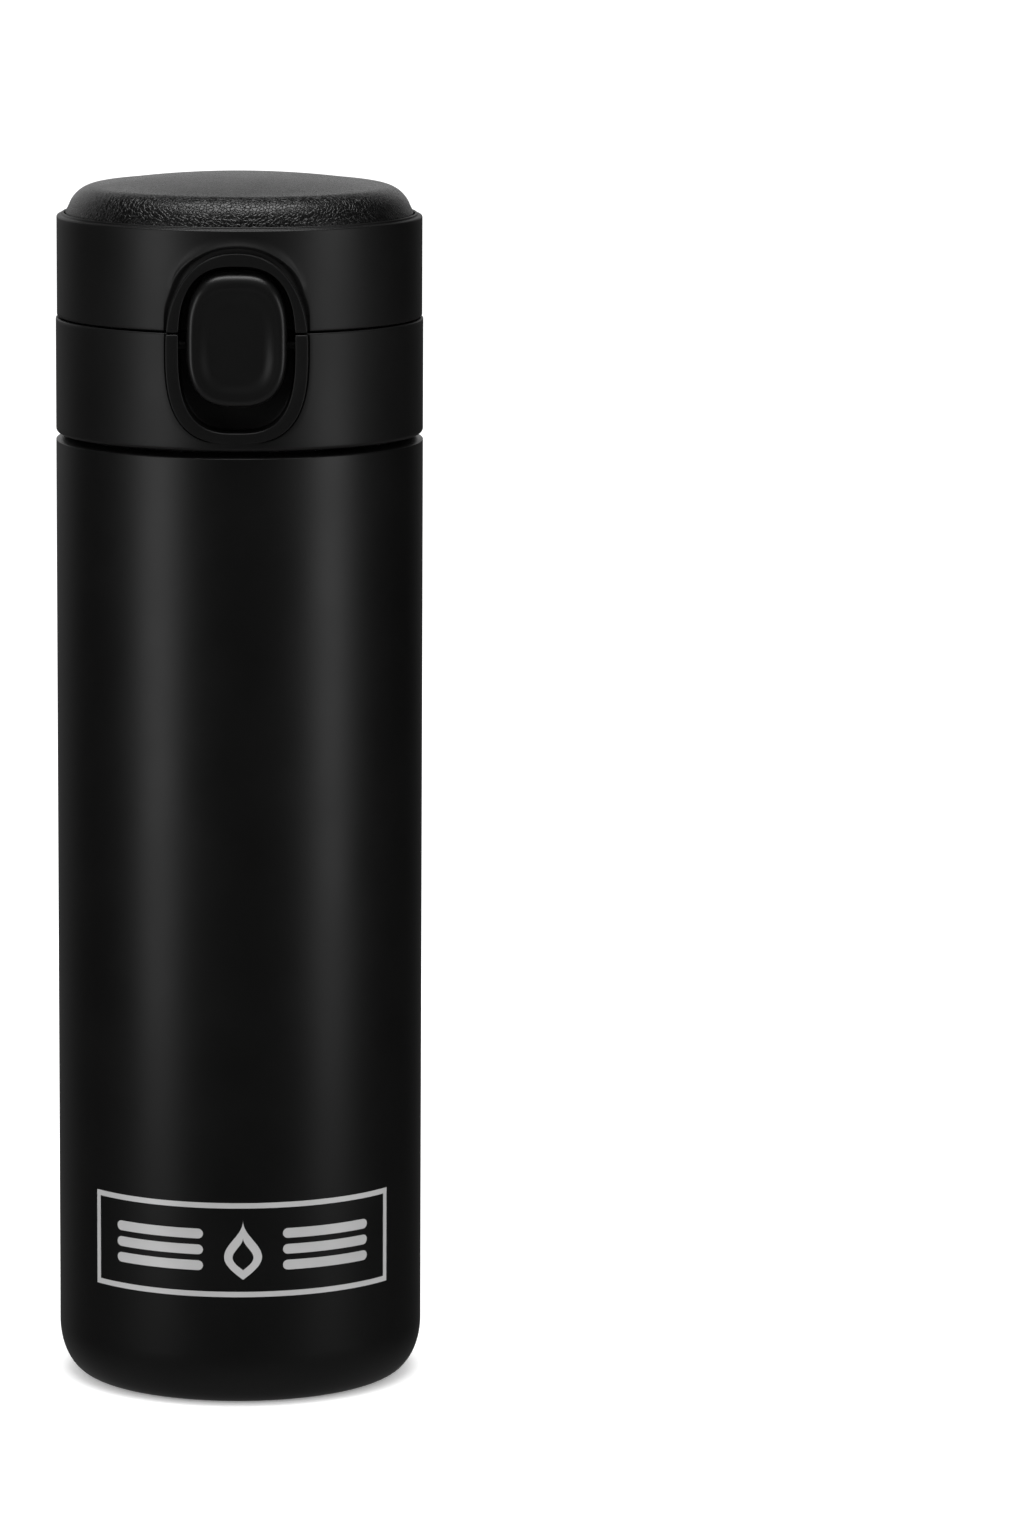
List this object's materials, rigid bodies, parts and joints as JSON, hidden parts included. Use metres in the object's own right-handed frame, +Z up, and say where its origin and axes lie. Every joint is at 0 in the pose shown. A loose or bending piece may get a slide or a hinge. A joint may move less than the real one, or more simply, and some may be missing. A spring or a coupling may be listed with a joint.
{
  "type": "vacuum flask",
  "caption": "Slim double-walled steel flask with a screw-on drinking collar, a flip lid on a rear hinge and a push-button latch in front.",
  "frame": {"origin": "centre of the base ring, on the surface the flask stands on", "axes": "+Z up along the flask's axis; the button faces -Y and the hinge is at +Y"},
  "size_m": [0.066, 0.0676, 0.2189],
  "materials": {
    "powder_coat": "fine satin powder coat",
    "black_plastic": "satin-matte moulded plastic",
    "grained_plastic": "soft satin with a fine leather grain",
    "inner_plastic": "plain moulded plastic",
    "bare_steel": "brushed, lightly polished",
    "spring_steel": "bright drawn wire",
    "silicone": "translucent grey silicone",
    "copper_foil": "thin bright copper foil",
    "solder_glass": "fused dark glass solder",
    "getter_metal": "pressed grey metal"
  },
  "bodies": {
    "flask": {"outer_shell": "powder_coat", "outer_bottom": "powder_coat", "base_cover": "bare_steel", "inner_vessel": "bare_steel", "inner_bottom": "bare_steel", "copper_foil": "copper_foil", "getter": "getter_metal", "port_seal": "solder_glass"},
    "lid_seal": {"neck_gasket": "silicone"},
    "collar": {"collar_shell": "black_plastic", "screw_ring": "inner_plastic", "drink_spout": "inner_plastic", "hinge_pin": "bare_steel", "lid_spring": "spring_steel", "button_pin": "bare_steel", "button_spring": "spring_steel"},
    "lid": {"lid_shell": "black_plastic", "crown_cap": "grained_plastic", "lid_liner": "inner_plastic", "seal_carrier": "inner_plastic", "spout_seal": "silicone"},
    "button": {"button_cap": "black_plastic", "latch_lever": "inner_plastic"}
  },
  "joints": [
    {"name": "unscrew_lift", "type": "slide", "parent": "flask", "child": "lid_seal", "axis": [0, 0, 1], "range_m": [0, 0.0081]},
    {"name": "unscrew", "type": "hinge", "parent": "lid_seal", "child": "collar", "pos_m": [0, 0, 0.18], "axis": [0, 0, 1], "range_deg": [0, 720]},
    {"name": "lid_flip", "type": "hinge", "parent": "collar", "child": "lid", "pos_m": [0, 0.0312, 0.1934], "axis": [-1, 0, 0], "range_deg": [0, 105], "deforming": ["lid_spring"]},
    {"name": "button_press", "type": "hinge", "parent": "collar", "child": "button", "pos_m": [0, -0.02925, 0.191], "axis": [1, 0, 0], "range_deg": [0, 6], "stiffness_Nm_per_rad": 0.4, "springref_deg": -2.86, "deforming": ["button_spring"]}
  ],
  "couplings": [
    {"joint": "unscrew_lift", "follows": "unscrew", "m_per_rad": 0.00063662}
  ]
}
